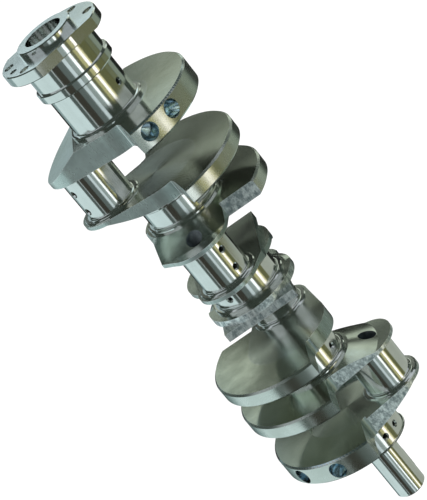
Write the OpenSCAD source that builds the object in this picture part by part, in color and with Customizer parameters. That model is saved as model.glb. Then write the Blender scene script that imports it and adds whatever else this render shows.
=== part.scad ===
// Forged cross-plane V8 crankshaft with 3 inch main journals and six counterweights.
// X runs along the crank axis towards the snout, +Z is the throw of rod journal 1,
// and the origin is the centre of the middle main journal.
// Angles are measured about X, from +Y towards +Z.

/* [Journals] */
// Diameter of the main journals
main_d = 76.2; // [70:0.1:78]
// Diameter of the rod journals
rod_d = 54.3; // [50:0.1:56]
// Distance from the crank axis to a rod journal's axis
throw = 55.1; // [50:0.1:57]
// Distance between neighbouring main journals
bore_pitch = 114.3; // [112:0.1:118]
// Gap between the two webs beside a main journal
main_gap = 30; // [27:0.5:33]
// Gap between the two webs beside a rod journal
rod_gap = 49; // [46:0.5:51]
// Ground length of the long rear main journal
rear_main_len = 45.7; // [40:0.1:50]
// Ground length of the short front main journal
front_main_len = 25.5; // [23:0.5:32]
// Grinding fillet at each end of a journal
fillet_r = 2; // [1:0.25:2.5]

/* [Webs] */
// Radius of a web about the crank axis
web_r = 48; // [46:0.5:54]
// Radius of a web's outer end about the rod journal
web_end_r = 36; // [35:0.5:38]
// The same for the front web
front_web_end_r = 34; // [33:0.5:36]
// Thickness of the rear web
rear_web_t = 27.35; // [24:0.05:30]
// Thickness of the front web
front_web_t = 21; // [19:0.5:24]
// Slope of the turned relief on a web's main journal side, in degrees
relief_angle = 25; // [15:0.5:28]
// Thickness left at the outer end of a relieved web
web_tip_t = 4.5; // [4:0.5:8]
// Thickness left at the outer end of the rear web
rear_web_tip_t = 5.5; // [5:0.5:12]
// Radius of the disc on the main journal side of the two middle webs
middle_disc_r = 51.5; // [48:0.5:54]
// Thickness of that disc
middle_disc_t = 8; // [5:0.5:10]
// Width across the parallel sides of the two middle webs
middle_web_w = 85; // [80:1:90]
// Distance from the crank axis to the squared tail of a middle web
middle_tail = 48; // [44:0.5:52]
// Radius of the lightening holes through rod journals 1 to 3
lightening_r = 9; // [6:0.25:10]

/* [Counterweights] */
// Outer radius of the counterweights
weight_r = 92.5; // [86:0.5:96]
// Thickness of the front counterweight, the rear one is as thick as its web
front_weight_t = 25; // [24:0.5:30]
// Distance from the outer face of an end counterweight to its balance drillings
balance_inset = 12; // [11:0.5:13]
// Fillet between a counterweight's shoulder and its web
shoulder_fillet_r = 6; // [3:0.5:8]
// Radius of the balance drillings in the end counterweights
balance_r = 9.5; // [6:0.25:10]
// Depth of the balance drillings
balance_depth = 22; // [12:1:26]

/* [Rear end] */
// Radius of the seal journal behind the slinger
seal_r = 40.3; // [39:0.1:42]
// Length of the seal journal
seal_len = 24.4; // [20:0.1:30]
// Radius of the oil slinger
slinger_r = 43.3; // [42:0.1:47]
// Width of the oil slinger
slinger_t = 10.1; // [6:0.1:12]
// Radius of the flywheel flange
flange_r = 56.5; // [54:0.5:60]
// Thickness of the flywheel flange
flange_t = 12.5; // [10:0.5:16]
// Width of the flange's two lobes
flange_lobe_w = 86; // [74:1:90]
// Radius of the flywheel register
register_r = 32; // [28:0.5:33]
// Height of the flywheel register
register_t = 8.5; // [4:0.5:12]
// Radius of the pilot bore
pilot_r = 21.3; // [15:0.1:23]
// Bolt circle diameter of the flange
bolt_pcd = 95; // [90:0.5:97]
// Radius of the flange bolt holes
bolt_hole_r = 5.6; // [4:0.1:6]

/* [Snout] */
// Diameter of the snout
snout_d = 35.4; // [32:0.1:38]
// Length of the snout
snout_len = 75.5; // [60:0.5:90]
// Radius of the tapped hole in the nose
nose_hole_r = 7.2; // [5:0.1:9]
// Depth of the tapped hole in the nose
nose_hole_depth = 45; // [25:1:60]
// Width of the two snout keys
key_w = 4.8; // [4:0.1:6.4]

/* [Hidden] */
$fn = 96;

// Everything that must reach past the part to cut it cleanly.
over = 1;
far = 140;

// Stations along X. The rear rod journal runs further back than the others by rear_rod_extra.
web_t = (bore_pitch - main_gap - rod_gap) / 2;
rear_rod_extra = 3.5;
main_x = [2 * bore_pitch, bore_pitch, 0, -bore_pitch, -2 * bore_pitch];
rod_x = [1.5 * bore_pitch, 0.5 * bore_pitch, -0.5 * bore_pitch, -1.5 * bore_pitch];
rod_angle = [90, 0, 180, 270];
front_web_x = rod_x[0] + rod_gap / 2 + front_web_t;
rear_web_x = rod_x[3] - rod_gap / 2 - rear_rod_extra - rear_web_t;

// Raised thrust collars beside the journals.
main_collar_r = main_d / 2 + 4.6;
main_collar_t = 3.5;
rod_collar_r = rod_d / 2 + 6;
rod_collar_t = 1.5;
collar_edge = 0.8;

// Webs: where the turned relief starts, how far the straight sides lie inside the round ends' tangents,
// how far a shoulder's fillet reaches into the web, and where a middle web's sides end.
relief_r = main_collar_r + 3.3;
relief_height = 2;
side_inset = 0.15;
fillet_root = 3;
cheek_drop = 5;
cheek_rise = 8;
cheek_angle = 20;

front_main_x = front_web_x + main_collar_t;
rear_main_x = rear_web_x - main_collar_t - rear_main_len;
slinger_x = rear_main_x - slinger_t;
seal_x = slinger_x - seal_len;
flange_x = seal_x - flange_t;
register_x = flange_x - register_t;
snout_x = front_main_x + front_main_len;

// Drillings.
oil_r = 2.6;
oil_mouth_r = 4.2;
oil_depth = 7;
oil_angle = 122;
front_oil_turn = 29;
middle_oil_angle = 208;
rod_oil_offset = 11.8;
rod_oil_turn = 40;
lightening_offset = 9.6;
drill_point = 0.6;
balance_edge = 0.4;

// Machined edges.
weight_edge = 2;
turned_edge = 1;

// Flange details. Angles about the crank axis run from the Y axis towards the Z axis.
scallop_r = 44;
lobe_angle = 66;
bolt_angles = [38, 88, 218, 268];
dowel_angle = 243;
dowel_hole_r = 4;

// Angles of the balance drillings in the end counterweights.
rear_balance_angles = [136, 156.5];
front_balance_angles = [201, 232];

// Heights of each counterweight's two shoulders above the crank axis, -Y side first.
shoulders_1 = [11, 22];
shoulders_2 = [9, -17];
shoulders_3 = [17, 0];
shoulders_6 = [0, -17];
shoulders_7 = [17, -9];
shoulders_8 = [11, 24];

// Degrees by which the -Y shoulders of counterweights 7 and 8 rise outwards.
tilt_7 = 15;
tilt_8 = 13;

// Step between the rear journal's collar and the foot of the sloped web.
slope_step = 1.5;

// Snout details.
snout_edge = 2;
key_angle = 45;
key_depth = 3;
key_proud = 2.4;
timing_key_x = 8;
timing_key_len = 20;
damper_key_x = 36;
damper_key_len = 28;

ground = "gainsboro";
machined = "slategray";
rim = "lightslategray";

// ---- Placing -------------------------------------------------------------

// Extrudes an outline drawn in (Y, Z) along X.
module plate(x, t)
    translate([x, 0, 0])
        rotate([90, 0, 90])
            linear_extrude(t)
                children();

// Turns a profile drawn in (radius, X) about the X axis.
module turned(x)
    translate([x, 0, 0])
        rotate([0, 90, 0])
            rotate_extrude()
                children();

// Carries children from the +Z throw to a rod journal's throw angle.
module at_throw(k)
    rotate([rod_angle[k] - 90, 0, 0])
        children();

// A drill-pointed hole from outside towards the axis, at an angle about X, with a countersunk mouth.
module radial_hole(x, angle, surface_r, hole_r, depth, mouth_r)
    translate([x, 0, 0])
        rotate([angle - 90, 0, 0])
            rotate_extrude()
                polygon([
                    [0, surface_r - depth - hole_r * drill_point],
                    [hole_r, surface_r - depth],
                    [hole_r, surface_r - mouth_r + hole_r],
                    [mouth_r + over, surface_r + over],
                    [0, surface_r + over]
                ]);

// ---- Profiles ------------------------------------------------------------

// A ground cylinder whose two ends sweep out into the collars.
module journal_profile(r, len) {
    square([r, len]);
    for (end = [0, 1])
        translate([r, end * len])
            mirror([0, end])
                difference() {
                    square(fillet_r);
                    translate([fillet_r, fillet_r])
                        circle(fillet_r);
                }
}

// A disc with both rims chamfered.
module disc_profile(r, t, edge)
    polygon([[0, 0], [r - edge, 0], [r, edge], [r, t - edge], [r - edge, t], [0, t]]);

// The outline of a web whose throw points along +Z, without its counterweight.
module web_outline(end_r = web_end_r) {
    side = asin((web_r - end_r) / throw);
    axis_r = web_r - side_inset;
    tip_r = end_r - side_inset;
    circle(web_r);
    translate([0, throw])
        circle(end_r);
    polygon([
        for (s = [1, -1])
            [s * axis_r * cos(side), axis_r * sin(side)],
        for (s = [-1, 1])
            [s * tip_r * cos(side), throw + tip_r * sin(side)]
    ]);
}

// Squares out the left side of a web as far as its rounded end.
module full_cheek() {
    half = middle_web_w / 2;
    polygon([
        [0, 0],
        [-half, 0],
        [-half, throw + cheek_rise],
        [-half / 2, throw + web_end_r * cos(asin(half / 2 / web_end_r))]
    ]);
}

// The parallel-sided outline of a middle web, squared off behind the crank axis.
module middle_web_outline() {
    half = middle_web_w / 2;
    translate([0, throw])
        circle(web_end_r);
    polygon([
        for (s = [-1, 1])
            [s * half, -middle_tail],
        for (s = [1, -1]) each [
            [s * half, throw - cheek_drop],
            [s * web_end_r * cos(cheek_angle), throw + web_end_r * sin(cheek_angle)]
        ]
    ]);
}

// ---- Journals ------------------------------------------------------------

// A main journal from x, with an oil hole at oil_x for each of the angles.
module main_journal(x, len, angles, oil_x)
    color(ground)
        difference() {
            turned(x)
                journal_profile(main_d / 2, len);
            for (a = angles)
                radial_hole(oil_x, a, main_d / 2, oil_r, oil_depth, oil_mouth_r);
        }

module inner_main_journal(k, angle)
    main_journal(main_x[k] - main_gap / 2 + main_collar_t, main_gap - 2 * main_collar_t, [angle], main_x[k]);

// A rod journal with its two oil holes, run further back by extra.
module rod_journal(k, extra = 0)
    color(ground)
        difference() {
            at_throw(k)
                translate([0, 0, throw])
                    difference() {
                        turned(rod_x[k] - rod_gap / 2 + rod_collar_t - extra)
                            journal_profile(rod_d / 2, rod_gap - 2 * rod_collar_t + extra);
                        for (s = [-1, 1])
                            radial_hole(rod_x[k] + s * rod_oil_offset, 90 - rod_oil_turn,
                                rod_d / 2, oil_r, oil_depth, oil_mouth_r);
                    }
            children();
        }

// The lengthwise hole that lightens a rod journal and the web behind it.
module lightening_hole(k)
    at_throw(k)
        translate([rod_x[k] - far / 2, 0, throw + lightening_offset])
            rotate([0, 90, 0])
                cylinder(h = far, r = lightening_r);

// ---- Webs and counterweights ---------------------------------------------

// A web with its main journal side at x = 0 and its rod journal side at x = t.
// The first child is its body and the second is cut away.
module web_shape(t)
    difference() {
        union() {
            children(0);
            turned(-main_collar_t)
                disc_profile(main_collar_r, main_collar_t + collar_edge, collar_edge);
            translate([0, 0, throw])
                turned(t - collar_edge)
                    disc_profile(rod_collar_r, rod_collar_t + collar_edge, collar_edge);
        }
        children(1);
    }

// What a lathe cuts from the throw side of a web, a cone that flattens out towards the tip.
module turned_relief(t)
    intersection() {
        turned(0)
            polygon([
                [relief_r, -over],
                [relief_r, 0],
                [relief_r + (t - web_tip_t) / tan(relief_angle), t - web_tip_t],
                [far, t - web_tip_t],
                [far, -over]
            ]);
        translate([-over, -far, relief_height])
            cube([t + 2 * over, 2 * far, far]);
    }

// A web that is round about the crank axis and about its rod journal.
module round_web(t, end_r = web_end_r)
    web_shape(t) {
        plate(0, t) {
            web_outline(end_r);
            children();
        }
        turned_relief(t);
    }

// A web without a counterweight, with a disc on its main journal side.
module middle_web(t)
    web_shape(t) {
        union() {
            plate(0, middle_disc_t)
                circle(middle_disc_r);
            plate(middle_disc_t, t - middle_disc_t)
                middle_web_outline();
        }
        turned_relief(t);
    }

// The thick rear web, milled to a flat slope on its main journal side.
module sloped_web(t) {
    slope_from = main_collar_r + slope_step;
    tip = throw + web_end_r;
    web_shape(t) {
        plate(0, t)
            web_outline();
        rotate([90, 0, 0])
            linear_extrude(2 * far, center = true)
                polygon([[-over, slope_from], [0, slope_from], [t - rear_web_tip_t, tip],
                    [t - rear_web_tip_t, far], [-over, far]]);
    }
}

// Places a web behind its rod journal, with the main journal on its rear side.
module behind_rod(k, t)
    color(machined)
        translate([rod_x[k] - rod_gap / 2 - t, 0, 0])
            at_throw(k)
                children();

// Places a web in front of its rod journal, with the main journal on its front side.
module before_rod(k, t)
    color(machined)
        translate([rod_x[k] + rod_gap / 2 + t, 0, 0])
            at_throw(k)
                mirror([1, 0, 0])
                    children();

// The sector of a chamfered disc that lies inside a region and outside its web.
module counterweight(k, x, t, end_r = web_end_r)
    intersection() {
        turned(x)
            disc_profile(weight_r, t, weight_edge);
        plate(x, t)
            difference() {
                children();
                rotate(rod_angle[k] - 90)
                    web_outline(end_r);
            }
    }

// The outline above a left and a right shoulder that meet the web in fillets.
// The left shoulder rises outwards by tilt degrees from its height at the web.
module above(heights, tilt = 0) {
    left_z = heights[0];
    right_z = heights[1];
    polygon([
        [-far, left_z + (far - web_r) * tan(tilt)],
        [0, left_z - web_r * tan(tilt)],
        [0, right_z],
        [far, right_z],
        [far, far],
        [-far, far]
    ]);
    shoulder_fillet(-1, left_z);
    shoulder_fillet(1, right_z);
}

// The same outline turned upside down.
module below(heights)
    rotate(180)
        above([-heights[1], -heights[0]]);

// Fills the corner between the web's side and a shoulder at height z.
module shoulder_fillet(side, z)
    translate([side * sqrt(web_r ^ 2 - z ^ 2), z])
        scale([side, 1])
            difference() {
                translate([-fillet_root, -shoulder_fillet_r])
                    square([shoulder_fillet_r + fillet_root, shoulder_fillet_r + over]);
                translate([shoulder_fillet_r, -shoulder_fillet_r])
                    circle(shoulder_fillet_r);
            }

// ---- Nodes ---------------------------------------------------------------

module rear_flange()
    color(machined)
        difference() {
            union() {
                turned(register_x)
                    disc_profile(register_r, register_t + turned_edge, turned_edge);
                turned(flange_x)
                    disc_profile(scallop_r, flange_t, turned_edge);
                intersection() {
                    turned(flange_x)
                        disc_profile(flange_r, flange_t, turned_edge);
                    plate(flange_x, flange_t)
                        rotate(lobe_angle)
                            square([far, flange_lobe_w], center = true);
                }
            }
            turned(register_x)
                translate([0, -over])
                    square([pilot_r, flange_x + flange_t - register_x + 2 * over]);
            for (a = bolt_angles)
                flange_hole(a, bolt_hole_r);
            flange_hole(dowel_angle, dowel_hole_r);
        }

// A hole through the flange on the bolt circle, parallel to the crank axis.
module flange_hole(angle, hole_r)
    translate([flange_x - over, bolt_pcd / 2 * cos(angle), bolt_pcd / 2 * sin(angle)])
        rotate([0, 90, 0])
            cylinder(h = flange_t + 2 * over, r = hole_r);

module seal_journal()
    color(ground)
        turned(seal_x)
            square([seal_r, seal_len]);

module oil_slinger()
    color(ground)
        turned(slinger_x)
            disc_profile(slinger_r, slinger_t, turned_edge);

module main_journal_1()
    main_journal(front_main_x, front_main_len, [oil_angle, oil_angle + front_oil_turn],
        front_main_x + front_main_len / 2);

module main_journal_5()
    main_journal(rear_main_x, rear_main_len, [oil_angle], rear_main_x + rear_main_len / 2);

module drilled_rod_journal(k)
    rod_journal(k)
        lightening_hole(k);

module web_1()
    before_rod(0, front_web_t)
        round_web(front_web_t, front_web_end_r);

module web_2()
    difference() {
        behind_rod(0, web_t)
            round_web(web_t);
        lightening_hole(0);
    }

module web_3()
    before_rod(1, web_t)
        round_web(web_t);

module web_4()
    difference() {
        behind_rod(1, web_t)
            middle_web(web_t);
        lightening_hole(1);
    }

module web_5()
    before_rod(2, web_t)
        middle_web(web_t);

module web_6()
    difference() {
        behind_rod(2, web_t)
            round_web(web_t)
                full_cheek();
        lightening_hole(2);
    }

module web_7()
    before_rod(3, web_t)
        round_web(web_t);

module web_8()
    behind_rod(3, rear_rod_extra + rear_web_t)
        sloped_web(rear_web_t);

module counterweight_8()
    color(rim)
        difference() {
            counterweight(3, rear_web_x, rear_web_t)
                above(shoulders_8, tilt_8);
            for (a = rear_balance_angles)
                balance_hole(rear_web_x + balance_inset, a);
        }

module counterweight_1()
    color(rim)
        difference() {
            counterweight(0, front_web_x - front_weight_t, front_weight_t, front_web_end_r)
                below(shoulders_1);
            for (a = front_balance_angles)
                balance_hole(front_web_x - balance_inset, a);
        }

module balance_hole(x, angle)
    radial_hole(x, angle, weight_r, balance_r, balance_depth, balance_r + balance_edge);

module counterweight_7()
    color(rim)
        counterweight(3, rod_x[3] + rod_gap / 2, web_t)
            above(shoulders_7, tilt_7);

module counterweight_2()
    color(rim)
        counterweight(0, rod_x[0] - rod_gap / 2 - web_t, web_t)
            below(shoulders_2);

// The two short weights beside the middle rod journals end in flats along their webs' sides.
module counterweight_6()
    color(rim)
        counterweight(2, rod_x[2] - rod_gap / 2 - web_t, web_t)
            intersection() {
                above(shoulders_6);
                translate([-web_r, -far])
                    square(2 * far);
            }

module counterweight_3()
    color(rim)
        counterweight(1, rod_x[1] + rod_gap / 2, web_t)
            intersection() {
                below(shoulders_3);
                translate([web_r - 2 * far, -far])
                    square(2 * far);
            }

module snout()
    color(ground)
        difference() {
            turned(snout_x)
                polygon([[0, 0], [snout_d / 2, 0], [snout_d / 2, snout_len - snout_edge],
                    [snout_d / 2 - snout_edge, snout_len], [0, snout_len]]);
            turned(snout_x + snout_len - nose_hole_depth)
                square([nose_hole_r, nose_hole_depth + over]);
            snout_key(timing_key_x, timing_key_len);
            snout_key(damper_key_x, damper_key_len);
        }

// A round-ended feather key, half sunk into the snout.
module snout_key(x, len)
    rotate([key_angle - 90, 0, 0])
        translate([snout_x + x, 0, snout_d / 2 - key_depth])
            linear_extrude(key_depth + key_proud) {
                translate([key_w / 2, -key_w / 2])
                    square([len - key_w, key_w]);
                for (end = [key_w / 2, len - key_w / 2])
                    translate([end, 0])
                        circle(key_w / 2);
            }

module timing_key()
    color(ground)
        snout_key(timing_key_x, timing_key_len);

module damper_key()
    color(ground)
        snout_key(damper_key_x, damper_key_len);

rear_flange();
seal_journal();
oil_slinger();
main_journal_1();
inner_main_journal(1, oil_angle);  // main_journal_2
inner_main_journal(2, middle_oil_angle);  // main_journal_3
inner_main_journal(3, oil_angle);  // main_journal_4
main_journal_5();
drilled_rod_journal(0);  // rod_journal_1
drilled_rod_journal(1);  // rod_journal_2
drilled_rod_journal(2);  // rod_journal_3
rod_journal(3, rear_rod_extra);  // rod_journal_4
web_1();
web_2();
web_3();
web_4();
web_5();
web_6();
web_7();
web_8();
counterweight_1();
counterweight_2();
counterweight_3();
counterweight_6();
counterweight_7();
counterweight_8();
snout();
timing_key();
damper_key();
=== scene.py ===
import math

import bpy
from mathutils import Matrix, Vector


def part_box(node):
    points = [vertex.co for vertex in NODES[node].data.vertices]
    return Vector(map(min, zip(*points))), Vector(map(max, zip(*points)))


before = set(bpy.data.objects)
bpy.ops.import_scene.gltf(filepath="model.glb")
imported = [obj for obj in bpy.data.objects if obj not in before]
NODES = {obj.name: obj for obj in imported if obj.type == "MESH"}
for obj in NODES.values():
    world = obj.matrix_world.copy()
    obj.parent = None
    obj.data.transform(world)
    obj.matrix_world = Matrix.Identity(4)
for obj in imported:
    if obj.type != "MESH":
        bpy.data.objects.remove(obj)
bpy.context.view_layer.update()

# How fine the turning and grinding marks are, in marks per metre.
GRIND_MARKS = 5200
TURN_MARKS = 2600


# ---- Building shader graphs ------------------------------------------------

class Graph:
    """A material and short ways to add and wire its nodes."""

    def __init__(self, name):
        self.material = bpy.data.materials.new(name)
        self.material.use_nodes = True
        self.nodes = self.material.node_tree.nodes
        self.links = self.material.node_tree.links
        self.shader = self.nodes["Principled BSDF"]

    def add(self, kind, inputs=None, **settings):
        node = self.nodes.new(kind)
        for key, value in settings.items():
            setattr(node, key, value)
        for key, value in (inputs or {}).items():
            self.feed(node.inputs[key], value)
        return node

    def feed(self, socket, value):
        if isinstance(value, bpy.types.NodeSocket):
            self.links.new(value, socket)
        else:
            socket.default_value = value

    def math(self, operation, a, b=0.0):
        node = self.add("ShaderNodeMath", operation=operation)
        self.feed(node.inputs[0], a)
        self.feed(node.inputs[1], b)
        return node.outputs[0]

    def spread(self, value, low, high, to_low, to_high):
        node = self.add("ShaderNodeMapRange", {0: value, 1: low, 2: high, 3: to_low, 4: to_high})
        return node.outputs[0]

    def noise(self, vector, scale, detail=4.0, rough=0.55):
        node = self.add("ShaderNodeTexNoise", {"Vector": vector, "Scale": scale, "Detail": detail,
                                               "Roughness": rough})
        return node.outputs["Fac"]

    def mix(self, factor, a, b):
        node = self.add("ShaderNodeMix", data_type="RGBA")
        self.feed(node.inputs[0], factor)
        self.feed(node.inputs[6], a)
        self.feed(node.inputs[7], b)
        return node.outputs[2]

    def bump(self, height, strength, distance, normal=None):
        inputs = {"Height": height, "Strength": strength, "Distance": distance}
        if normal is not None:
            inputs["Normal"] = normal
        return self.add("ShaderNodeBump", inputs).outputs["Normal"]


def object_place(g):
    """A point's place in the frame of the shaft, or of its card."""
    return g.add("ShaderNodeTexCoord").outputs["Object"]


def shaft_coordinates(g):
    """A point's place in the shaft's frame, its distance along X, and its distance from the X axis."""
    place = object_place(g)
    parts = g.add("ShaderNodeSeparateXYZ", {0: place}).outputs
    radius = g.math("SQRT", g.math("ADD", g.math("MULTIPLY", parts[1], parts[1]),
                                   g.math("MULTIPLY", parts[2], parts[2])))
    return place, parts[0], radius


def lathe_marks(g, along, out, marks):
    """Fine marks left by a cutter that moves along X on round faces and outwards on flat ones."""
    travel = g.math("ADD", along, out)
    wave = g.math("SINE", g.math("MULTIPLY", travel, marks * 2 * math.pi))
    lines = g.add("ShaderNodeCombineXYZ", {0: travel}).outputs[0]
    return g.math("ADD", g.math("MULTIPLY", wave, 0.35), g.noise(lines, marks * 0.35, 3.0, 0.7))


def across_marks(g, place):
    """The direction across the marks of a lathe or grinder, outwards on a face and along X on a round."""
    spoke = g.add("ShaderNodeVectorMath", {0: place, 1: (0, 1, 1)}, operation="MULTIPLY").outputs[0]
    around = g.add("ShaderNodeVectorMath", {0: (1, 0, 0), 1: spoke}, operation="CROSS_PRODUCT").outputs[0]
    normal = g.add("ShaderNodeNewGeometry").outputs["Normal"]
    across = g.add("ShaderNodeVectorMath", {0: normal, 1: around}, operation="CROSS_PRODUCT").outputs[0]
    return g.add("ShaderNodeVectorMath", {0: across}, operation="NORMALIZE").outputs[0]


def edge_wear_and_highlight(g, size=0.0012):
    """1 along sharp edges, where rubbed wear and a painted highlight go, 0 on open faces."""
    bevel = g.add("ShaderNodeBevel", {"Radius": size}, samples=4).outputs[0]
    straight = g.add("ShaderNodeNewGeometry").outputs["Normal"]
    dot = g.add("ShaderNodeVectorMath", {0: bevel, 1: straight}, operation="DOT_PRODUCT").outputs["Value"]
    return g.spread(dot, 0.995, 0.8, 0.0, 1.0)


# ---- Materials ---------------------------------------------------------------

# The colour of edges that have rubbed bright and carry a painted highlight, on turned surfaces and on
# milled or rough ones.
TURNED_EDGE_WEAR_AND_HIGHLIGHT = (0.80, 0.82, 0.80, 1)
MILLED_EDGE_WEAR_AND_HIGHLIGHT = (0.85, 0.88, 0.88, 1)


def ground_steel():
    """Journals: ground round and polished until they mirror the room in long streaks."""
    g = Graph("ground_steel")
    place, along, _ = shaft_coordinates(g)
    cloud = g.noise(place, 38.0)
    marks = g.noise(g.add("ShaderNodeCombineXYZ", {0: along}).outputs[0], GRIND_MARKS, 3.0, 0.7)
    tint = g.mix(g.spread(cloud, 0.35, 0.7, 0.0, 1.0), (0.86, 0.87, 0.86, 1), (0.80, 0.81, 0.79, 1))
    g.feed(g.shader.inputs["Base Color"], tint)
    g.feed(g.shader.inputs["Metallic"], 1.0)
    g.feed(g.shader.inputs["Roughness"], g.spread(g.math("ADD", cloud, g.math("MULTIPLY", marks, 0.5)),
                                                  0.5, 1.1, 0.09, 0.17))
    g.feed(g.shader.inputs["Anisotropic"], 0.5)
    g.feed(g.shader.inputs["Tangent"], across_marks(g, place))
    g.feed(g.shader.inputs["Normal"], g.bump(marks, 0.12, 0.00005))
    return g.material


def machined_steel(name, light, dark, rough_low, rough_high, grain=0.75):
    """Webs and weights: a satin turned face over a forging, brighter along its edges from rubbed wear and
    a painted highlight.
    """
    g = Graph(name)
    place, along, out = shaft_coordinates(g)
    cloud = g.noise(place, 26.0, 5.0, 0.6)
    fine = g.noise(place, 900.0, 2.0, 0.6)
    marks = lathe_marks(g, along, out, TURN_MARKS)
    tint = g.mix(g.spread(cloud, 0.35, 0.68, 0.0, 1.0), light, dark)
    # Edges lighter: rubbed wear and a painted highlight.
    worn_and_highlit = g.mix(edge_wear_and_highlight(g), tint, TURNED_EDGE_WEAR_AND_HIGHLIGHT)
    g.feed(g.shader.inputs["Base Color"], worn_and_highlit)
    g.feed(g.shader.inputs["Metallic"], 1.0)
    g.feed(g.shader.inputs["Roughness"], g.spread(g.math("ADD", cloud, g.math("MULTIPLY", fine, 0.4)),
                                                  0.45, 0.95, rough_low, rough_high))
    turned = g.bump(marks, 0.06, 0.00006)
    g.feed(g.shader.inputs["Anisotropic"], grain)
    g.feed(g.shader.inputs["Tangent"], across_marks(g, place))
    g.feed(g.shader.inputs["Normal"], g.bump(fine, 0.05, 0.00006, turned))
    return g.material


def milled_steel():
    """Sides of the webs: milled along the shaft to a pale satin, with soft streaks."""
    g = Graph("milled_steel")
    place = object_place(g)
    stretched = g.add("ShaderNodeVectorMath", {0: place, 1: (0.2, 1, 1)}, operation="MULTIPLY").outputs[0]
    streaks = g.noise(stretched, 420.0, 3.0, 0.6)
    cloud = g.noise(place, 34.0)
    tint = g.mix(g.spread(cloud, 0.35, 0.65, 0.0, 1.0), (0.50, 0.62, 0.60, 1), (0.34, 0.42, 0.41, 1))
    # Edges lighter: rubbed wear and a painted highlight.
    g.feed(g.shader.inputs["Base Color"], g.mix(edge_wear_and_highlight(g), tint, MILLED_EDGE_WEAR_AND_HIGHLIGHT))
    g.feed(g.shader.inputs["Metallic"], 0.6)
    g.feed(g.shader.inputs["Roughness"], g.spread(g.math("ADD", streaks, cloud), 0.8, 1.2, 0.24, 0.36))
    g.feed(g.shader.inputs["Normal"], g.bump(streaks, 0.10, 0.0001))
    return g.material


def drilled_steel(name, light, dark, metallic):
    """Inside the drillings: glossy, with fine marks left by the drill."""
    g = Graph(name)
    place = object_place(g)
    cloud = g.noise(place, 90.0)
    marks = g.noise(place, 700.0, 2.0)
    g.feed(g.shader.inputs["Base Color"], g.mix(g.spread(cloud, 0.35, 0.65, 0.0, 1.0), light, dark))
    g.feed(g.shader.inputs["Metallic"], metallic)
    g.feed(g.shader.inputs["Roughness"], g.spread(marks, 0.3, 0.7, 0.14, 0.22))
    g.feed(g.shader.inputs["Normal"], g.bump(marks, 0.06, 0.0001))
    return g.material


def forged_steel():
    """Flat sides and shoulders: milled over a rough forging, pale and pitted with darker scale between."""
    g = Graph("forged_steel")
    place = object_place(g)
    stretched = g.add("ShaderNodeVectorMath", {0: place, 1: (0.55, 1, 1)}, operation="MULTIPLY").outputs[0]
    patches = g.noise(stretched, 260.0, 5.0, 0.75)
    pits = g.add("ShaderNodeTexVoronoi", {"Vector": place, "Scale": 420.0}).outputs["Distance"]
    cloud = g.noise(place, 30.0)
    scale = g.mix(g.spread(patches, 0.40, 0.60, 0.0, 1.0), (0.30, 0.37, 0.39, 1), (0.92, 1.0, 1.0, 1))
    # Edges lighter: rubbed wear and a painted highlight.
    g.feed(g.shader.inputs["Base Color"], g.mix(edge_wear_and_highlight(g), scale, MILLED_EDGE_WEAR_AND_HIGHLIGHT))
    g.feed(g.shader.inputs["Metallic"], 0.7)
    g.feed(g.shader.inputs["Roughness"], g.spread(g.math("ADD", patches, cloud), 0.8, 1.2, 0.46, 0.28))
    dents = g.bump(patches, 0.35, 0.0006)
    g.feed(g.shader.inputs["Normal"], g.bump(pits, 0.20, 0.0003, dents))
    return g.material


def plain_stage(name, colour, strength, glow=None):
    """A card or backdrop that gives off a nearly even light, or one shaped by the function glow."""
    g = Graph(name)
    g.nodes.remove(g.shader)
    place = object_place(g)
    drift = g.spread(g.noise(place, 0.6, 2.0), 0.3, 0.7, strength * 0.94, strength * 1.06)
    level = g.math("MULTIPLY", drift, glow(g, place)) if glow else drift
    light = g.add("ShaderNodeEmission", {"Color": colour, "Strength": level})
    g.links.new(light.outputs[0], g.nodes["Material Output"].inputs["Surface"])
    return g.material


def wall_glow(g, place):
    """How bright the back wall is: three soft patches on a dark wall.

    The faces at the rear mirror one, the low faces in the middle another and the high ones at the front
    the third. Each pair of X or Z says where a patch is full and where it has faded away. The pair far_x
    does so on the patch's other side.
    """
    parts = g.add("ShaderNodeSeparateXYZ", {0: place}).outputs

    def patch(x, z, strength, far_x=None):
        across = g.spread(parts[0], x[0], x[1], strength, 0.0)
        if far_x:
            across = g.math("MULTIPLY", across, g.spread(parts[0], far_x[0], far_x[1], 1.0, 0.0))
        return g.math("MULTIPLY", across, g.spread(parts[2], z[0], z[1], 1.0, 0.0))

    rear = patch((-0.62, -0.48), (-0.10, -0.22), 0.72)
    low = patch((-0.395, -0.365), (-0.28, -0.21), 0.85, far_x=(-0.46, -0.50))
    front = patch((-0.305, -0.345), (-0.14, -0.19), 0.90, far_x=(-0.15, -0.10))
    dark = 0.02
    total = g.math("ADD", g.math("ADD", rear, low), g.math("ADD", front, dark))
    mottle = g.spread(g.noise(place, 7.0), 0.35, 0.65, 0.75, 1.25)
    return g.math("MULTIPLY", total, mottle)


ground = ground_steel()
web_face = machined_steel("web_steel", (0.72, 0.75, 0.71, 1), (0.56, 0.59, 0.53, 1), 0.15, 0.25)
weight_face = machined_steel("weight_steel", (0.72, 0.75, 0.68, 1), (0.56, 0.59, 0.50, 1), 0.12, 0.21)
rim_face = machined_steel("rim_steel", (0.84, 0.86, 0.82, 1), (0.74, 0.77, 0.72, 1), 0.22, 0.34)
flange_face = machined_steel("flange_steel", (0.84, 0.88, 0.88, 1), (0.74, 0.78, 0.78, 1), 0.14, 0.26)
key_face = machined_steel("key_steel", (0.62, 0.62, 0.60, 1), (0.50, 0.50, 0.48, 1), 0.25, 0.35)
forged = forged_steel()
milled = milled_steel()
drilled = drilled_steel("drilled_steel", (0.80, 0.92, 0.98, 1), (0.62, 0.74, 0.82, 1), 1.0)
lightening_bore = drilled_steel("lightening_bore_steel", (0.42, 0.50, 0.53, 1), (0.16, 0.20, 0.22, 1), 0.5)
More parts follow.
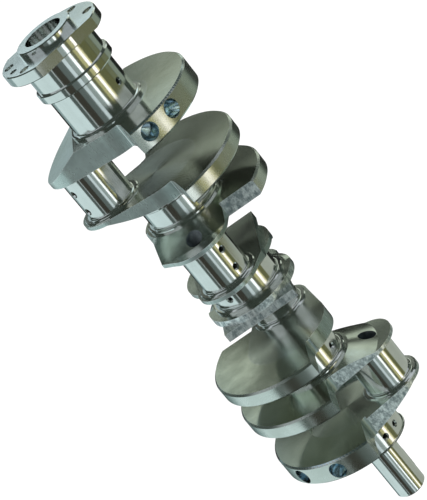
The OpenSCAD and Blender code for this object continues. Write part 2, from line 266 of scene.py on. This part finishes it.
# The oil holes' walls are painted near black: painted shade inside the holes.
oil_bore_painted_shade = drilled_steel("oil_bore_painted_shade_steel", (0.16, 0.18, 0.18, 1), (0.07, 0.08, 0.08, 1), 0.6)

# ---- Which surface gets which material ----------------------------------------

# The fillet at the journals' ends.
FILLET = 0.002
# How far past a rod journal's axis its lightening hole sits, and the hole's radius with a little to spare.
HOLE_OFFSET = 0.0096
HOLE_REACH = 0.0095
# How far the collars stand out from the webs along X, and how far past the journals' surfaces they reach,
# with a little to spare.
MAIN_COLLAR = 0.0036
MAIN_COLLAR_REACH = 0.006
ROD_COLLAR = 0.0016
ROD_COLLAR_REACH = 0.007
# The least part of a normal along X on a web's face or relief, a flange face, a journal's end and a
# counterweight's flat face.
FACE_X = 0.3
FLANGE_FACE_X = 0.9
JOURNAL_END_X = 0.95
WEIGHT_FACE_X = 0.98
# A weight's rim faces outwards at least this much, and no further than this below the outermost radius.
RIM_OUTWARDS = 0.9
RIM_DEPTH = 0.0025
# The walls of the balance drillings lie beyond this radius and under the rim. Their normals have some X in
# them, which the shoulders' don't.
DRILLING_FROM = 0.055
DRILLING_UNDER_RIM = 0.001
DRILLING_X = 0.02
# Walls this far below a journal's surface are those of its holes.
HOLE_WALL_DEPTH = 0.0025

CRANK = Vector()
BOXES = {name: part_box(name) for name in NODES}

main_r = (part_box("main_journal_3")[1].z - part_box("main_journal_3")[0].z) / 2 - FILLET
weight_r = -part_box("counterweight_2")[0].y
rod_axis = {k: sum(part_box("rod_journal_%d" % k), Vector()) / 2 for k in (1, 2, 3, 4)}
rod_r = (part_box("rod_journal_1")[1].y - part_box("rod_journal_1")[0].y) / 2 - FILLET


def from_axis(point, axis):
    """Distance of a point from a line along X."""
    return math.hypot(point.y - axis.y, point.z - axis.z)


def web_surface(name, centre, normal, corners):
    """Faces are turned, collars polished, sides milled or left rough, lightening holes drilled."""
    rod = rod_axis[(int(name[-1]) + 1) // 2]
    hole = rod + Vector((0, rod.y, rod.z)).normalized() * HOLE_OFFSET
    if abs(normal.x) < FACE_X and from_axis(centre, hole) < HOLE_REACH:
        return lightening_bore
    low, high = BOXES[name]
    rod_end, main_end = (low.x, high.x) if rod.x < low.x else (high.x, low.x)
    collars = ((CRANK, main_r + MAIN_COLLAR_REACH, main_end, MAIN_COLLAR),
               (rod, rod_r + ROD_COLLAR_REACH, rod_end, ROD_COLLAR))
    for axis, reach, end, thickness in collars:
        if abs(centre.x - end) < thickness and all(from_axis(corner, axis) < reach for corner in corners):
            return ground
    if abs(normal.x) > FACE_X:
        return web_face
    return forged if name in ("web_1", "web_2", "web_4") else milled


def weight_surface(name, centre, normal, corners):
    """Faces are turned, the rim brighter, the drillings bright, the shoulders milled or left rough."""
    out = from_axis(centre, CRANK)
    spoke = Vector((0, centre.y, centre.z)).normalized()
    if abs(normal.dot(spoke)) > RIM_OUTWARDS and out > weight_r - RIM_DEPTH:
        return rim_face
    if abs(normal.x) > WEIGHT_FACE_X:
        return weight_face
    inside = DRILLING_FROM < out < weight_r - DRILLING_UNDER_RIM and abs(normal.x) > DRILLING_X
    if name in ("counterweight_1", "counterweight_8") and inside:
        return drilled
    if abs(normal.x) > FACE_X:
        return rim_face
    return forged if name == "counterweight_6" else milled


def flange_surface(name, centre, normal, corners):
    """Faces turned, everything else polished."""
    return flange_face if abs(normal.x) > FLANGE_FACE_X else ground


def journal_surface(name, centre, normal, corners):
    """Polished, with the oil holes' walls painted near black as shade."""
    axis, surface_r = (CRANK, main_r) if name.startswith("main") else (rod_axis[int(name[-1])], rod_r)
    in_hole = from_axis(centre, axis) < surface_r - HOLE_WALL_DEPTH and abs(normal.x) < JOURNAL_END_X
    return oil_bore_painted_shade if in_hole else ground


def key_surface(name, centre, normal, corners):
    """Bright drawn key steel all over."""
    return key_face


def polished_surface(name, centre, normal, corners):
    """Ground and polished all over."""
    return ground


def dress(name, choose):
    """Gives each face of a CAD node the material that choose picks for it."""
    mesh = NODES[name].data
    mesh.materials.clear()
    slots = {}
    for polygon in mesh.polygons:
        corners = [mesh.vertices[i].co for i in polygon.vertices]
        material = choose(name, polygon.center, polygon.normal, corners)
        if material.name not in slots:
            slots[material.name] = len(slots)
            mesh.materials.append(material)
        polygon.material_index = slots[material.name]


for name in NODES:
    if name.startswith("web"):
        dress(name, web_surface)
    elif name.startswith("counterweight"):
        dress(name, weight_surface)
    elif name == "rear_flange":
        dress(name, flange_surface)
    elif name.startswith(("main_journal", "rod_journal")):
        dress(name, journal_surface)
    elif name.endswith("key"):
        dress(name, key_surface)
    else:
        dress(name, polished_surface)


# ---- Shading ---------------------------------------------------------------

def smooth(obj, angle=math.radians(20)):
    """Shades round faces smooth and keeps machined corners crisp."""
    for polygon in obj.data.polygons:
        polygon.use_smooth = True
    obj.data.set_sharp_from_angle(angle=angle)


for obj in NODES.values():
    smooth(obj)


# ---- Stage -----------------------------------------------------------------

# The floor's height, the ceiling's, and half the room's width.
FLOOR_Z = -0.75
ROOM_TOP = 15.0
ROOM_HALF = 15.0


def stage_object(name, corners, faces, material):
    """A mesh of one material that belongs to the stage and not to the crankshaft."""
    mesh = bpy.data.meshes.new(name)
    mesh.from_pydata(corners, [], faces)
    mesh.materials.append(material)
    obj = bpy.data.objects.new(name, mesh)
    bpy.context.scene.collection.objects.link(obj)
    return obj


def card(name, centre, normal, width, height, colour, strength, glow=None):
    """A plain rectangle of light that faces along normal. Its width runs as near X as it can.

    The function glow, where given, makes the strength vary over the card.
    """
    w = Vector(normal).normalized()
    u = (Vector((1, 0, 0)) - w * w.x).normalized()
    v = w.cross(u)
    corners = [Vector(centre) + u * a * width / 2 + v * b * height / 2
               for a, b in ((-1, -1), (1, -1), (1, 1), (-1, 1))]
    obj = stage_object(name, corners, [(0, 1, 2, 3)], plain_stage(name, (*colour, 1), strength, glow))
    obj.visible_camera = False
    obj.visible_shadow = False
    obj.visible_diffuse = False


def strip(name, angle, spread, colour, strength, start=0.0, end=2.3, reach=2.4):
    """A card parallel to the shaft from start to end, that covers spread degrees about it at an angle.

    Angles run from +Y towards +Z.
    """
    a = math.radians(angle)
    out = Vector((0, math.cos(a), math.sin(a)))
    height = 2 * reach * math.tan(math.radians(spread / 2))
    middle = (start + end) / 2
    card(name, out * reach + Vector((middle, 0, 0)), -out, end - start, height, colour, strength)


# Strips around the shaft, which the journals mirror as streaks along their length: name, angle, spread,
# colour and strength.
STRIPS = [
    ("strip_far_low", -4, 32, (0.26, 0.31, 0.28), 0.95),
    ("strip_far", 27, 28, (0.17, 0.22, 0.19), 0.85),
    ("strip_far_high", 53, 22, (0.22, 0.27, 0.21), 1.0),
    ("strip_olive", 75, 20, (0.16, 0.18, 0.10), 0.95),
    ("strip_bronze", 99, 26, (0.15, 0.16, 0.07), 0.85),
    ("strip_gold_edge", 115, 4, (0.95, 0.90, 0.45), 0.85),
    ("strip_warm", 122, 9, (1.0, 0.97, 0.86), 1.5),
    ("strip_gold", 132, 9, (0.56, 0.55, 0.26), 0.8),
    ("strip_umber", 141, 8, (0.16, 0.17, 0.09), 0.8),
    ("strip_cool", 150, 8, (0.92, 1.0, 1.0), 1.4),
    ("strip_slate", 160, 12, (0.34, 0.42, 0.40), 0.8),
    ("strip_blue", 172, 10, (0.74, 0.88, 0.90), 0.8),
    ("strip_shade", 186, 18, (0.14, 0.18, 0.17), 0.8),
    ("strip_dark", 205, 20, (0.05, 0.05, 0.04), 0.9),
    ("strip_line", 217, 3, (0.60, 0.70, 0.70), 0.7),
    ("strip_dark_low", 224, 10, (0.10, 0.13, 0.12), 0.8),
    ("strip_pale", 265, 70, (0.55, 0.68, 0.68), 1.12),
    ("strip_pale_low", 308, 16, (0.26, 0.36, 0.36), 1.0),
    ("strip_floor", 331, 30, (0.09, 0.13, 0.13), 0.9),
]
for settings in STRIPS:
    strip(*settings)

# The front journals and the snout mirror a paler room above.
for angle in (28, 55, 82):
    strip("strip_front_%d" % angle, angle, 28, (0.40, 0.44, 0.38), 0.95, start=0.92, reach=2.3)

# Pale strips beyond the flange end, for the journals seen from the snout's side.
for angle in (95, 240):
    strip("strip_rear_%d" % angle, angle, 60, (0.88, 0.96, 1.0), 0.6, start=-2.6, end=-0.9)

# What the faces that look back along the shaft mirror: a wall that darkens towards the front and upwards,
# a pale screen behind the flange, and another low down for the sloped rear web.
card("back_wall", centre=(-0.7, 1.0, -0.1), normal=(0, -1, 0), width=2.6, height=1.8,
     colour=(0.78, 0.88, 0.74), strength=1.0, glow=wall_glow)
card("flange_screen", centre=(-0.895, 0.60, -0.10), normal=(0, -1, 0), width=0.8, height=0.9,
     colour=(0.74, 0.90, 0.92), strength=1.1)
card("low_screen", centre=(-0.28, 0.9, -0.57), normal=(0, -0.9, 0.4), width=0.65, height=0.5,
     colour=(0.72, 0.92, 0.95), strength=0.5)

# A pale floor, and pale walls and a ceiling far off that light nothing and are only looked at.
WHITE = (1, 1, 1, 1)
WHITE_STRENGTH = 1.1
OUTLINE = [(x * ROOM_HALF, y * ROOM_HALF) for x, y in ((-1, -1), (1, -1), (1, 1), (-1, 1))]
floor_corners = [(x, y, FLOOR_Z) for x, y in OUTLINE]
ceiling_corners = [(x, y, ROOM_TOP) for x, y in OUTLINE]
wall_faces = [(i, (i + 1) % 4, (i + 1) % 4 + 4, i + 4) for i in range(4)]

floor = stage_object("floor", floor_corners, [(0, 1, 2, 3)],
                     plain_stage("floor_white", WHITE, WHITE_STRENGTH))
floor.visible_glossy = False
walls = stage_object("walls", floor_corners + ceiling_corners, wall_faces + [(4, 5, 6, 7)],
                     plain_stage("wall_white", WHITE, WHITE_STRENGTH))
walls.visible_glossy = False
walls.visible_diffuse = False
walls.visible_shadow = False

# The dim rest of the room, which shows wherever a surface mirrors no card.
DIM_ROOM = (0.05, 0.064, 0.055, 1)
world = bpy.data.worlds.new("studio")
world.use_nodes = True
world.node_tree.nodes["Background"].inputs["Color"].default_value = DIM_ROOM
world.node_tree.nodes["Background"].inputs["Strength"].default_value = 1.0
bpy.context.scene.world = world
bpy.context.scene.view_settings.view_transform = "Standard"

# ---- Camera ----------------------------------------------------------------

# The directions to the right and down as the camera sees them, and where it stands.
RIGHT = Vector((0.5835, -0.0878, 0.8073))
DOWN = Vector((0.7150, -0.4155, -0.5620))
CAMERA_PLACE = Vector((-0.8679, -1.9451, 0.3812))

lens = bpy.data.cameras.new("camera")
lens.sensor_width = 36.0
lens.lens = 151.5
lens.clip_end = 200.0
camera = bpy.data.objects.new("camera", lens)
bpy.context.scene.collection.objects.link(camera)
up = -DOWN.normalized()
right = (RIGHT - up * RIGHT.dot(up)).normalized()
back = right.cross(up)
camera.matrix_world = Matrix.Translation(CAMERA_PLACE) @ Matrix((right, up, back)).transposed().to_4x4()
bpy.context.scene.camera = camera
